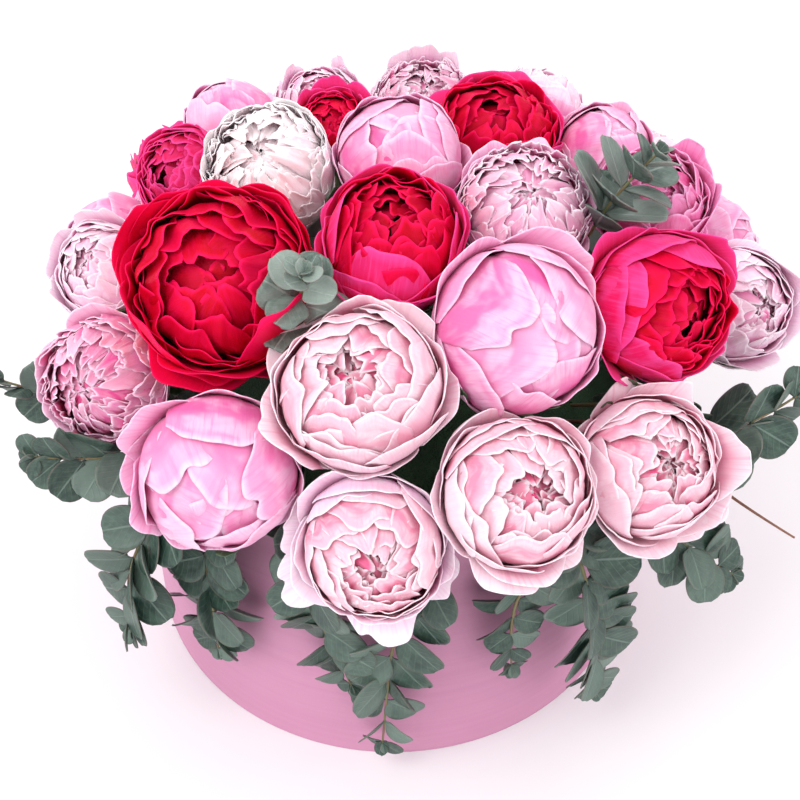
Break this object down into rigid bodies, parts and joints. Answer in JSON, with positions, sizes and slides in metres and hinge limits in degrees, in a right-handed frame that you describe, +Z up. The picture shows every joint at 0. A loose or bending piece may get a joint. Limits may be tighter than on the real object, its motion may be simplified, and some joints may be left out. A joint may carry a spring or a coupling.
{
  "type": "flower box",
  "caption": "Round paper-covered hat box holding a domed arrangement of cut peonies and eucalyptus sprigs in floral foam, in a liner that lifts out.",
  "frame": {"origin": "centre of the underside of the box, where it rests", "axes": "+Z up along the axis of the round box, -Y towards the viewer's side, +X to the viewer's right"},
  "size_m": [0.4362, 0.4295, 0.3475],
  "materials": {
    "pink_paper": "matte",
    "white_paper": "matte",
    "grey_board": "matte",
    "clear_liner": "satin",
    "wet_foam": "matte",
    "green_stem": "satin",
    "eucalyptus": "satin",
    "crimson_petal": "satin",
    "magenta_petal": "satin",
    "pink_petal": "satin",
    "blush_petal": "satin",
    "white_petal": "satin"
  },
  "bodies": {
    "box": {"box_tube": "grey_board", "outer_wrap": "pink_paper", "inner_lining": "white_paper", "base_disc": "grey_board", "base_cover": "white_paper"},
    "arrangement": {"eucalyptus_bare_twig": "eucalyptus", "eucalyptus_front": "eucalyptus", "eucalyptus_front_left": "eucalyptus", "eucalyptus_front_right": "eucalyptus", "eucalyptus_left": "eucalyptus", "eucalyptus_left_far": "eucalyptus", "eucalyptus_left_hanging": "eucalyptus", "eucalyptus_left_low": "eucalyptus", "eucalyptus_rear": "eucalyptus", "eucalyptus_rear_left": "eucalyptus", "eucalyptus_rear_right": "eucalyptus", "eucalyptus_right": "eucalyptus", "eucalyptus_right_hanging": "eucalyptus", "eucalyptus_right_low": "eucalyptus", "eucalyptus_top_left": "eucalyptus", "eucalyptus_top_right": "eucalyptus", "foam_lower": "wet_foam", "foam_upper": "wet_foam", "liner_tub": "clear_liner", "peony_blush_centre": "blush_petal", "peony_blush_front": "blush_petal", "peony_blush_low": "blush_petal", "peony_blush_right": "blush_petal", "peony_crimson_centre": "crimson_petal", "peony_crimson_large": "crimson_petal", "peony_crimson_left": "crimson_petal", "peony_crimson_right": "crimson_petal", "peony_crimson_small": "crimson_petal", "peony_crimson_top": "crimson_petal", "peony_globe_centre": "pink_petal", "peony_globe_left": "pink_petal", "peony_globe_top": "pink_petal", "peony_magenta_right": "magenta_petal", "peony_pale_left": "blush_petal", "peony_pale_right": "blush_petal", "peony_pink_back": "pink_petal", "peony_pink_back_left": "pink_petal", "peony_pink_back_right": "pink_petal", "peony_rear_blush": "blush_petal", "peony_rear_centre": "blush_petal", "peony_rear_crimson": "crimson_petal", "peony_rear_left": "pink_petal", "peony_rear_right": "pink_petal", "peony_rear_rose": "crimson_petal", "peony_rear_ruffle": "pink_petal", "peony_rear_upper_left": "pink_petal", "peony_rear_upper_right": "pink_petal", "peony_ruffle_left": "pink_petal", "peony_ruffle_top": "pink_petal", "peony_stems": "green_stem", "peony_white_left": "white_petal"}
  },
  "joints": [
    {"name": "arrangement_lift", "type": "slide", "parent": "box", "child": "arrangement", "axis": [0, 0, 1], "range_m": [0, 0.21]}
  ]
}
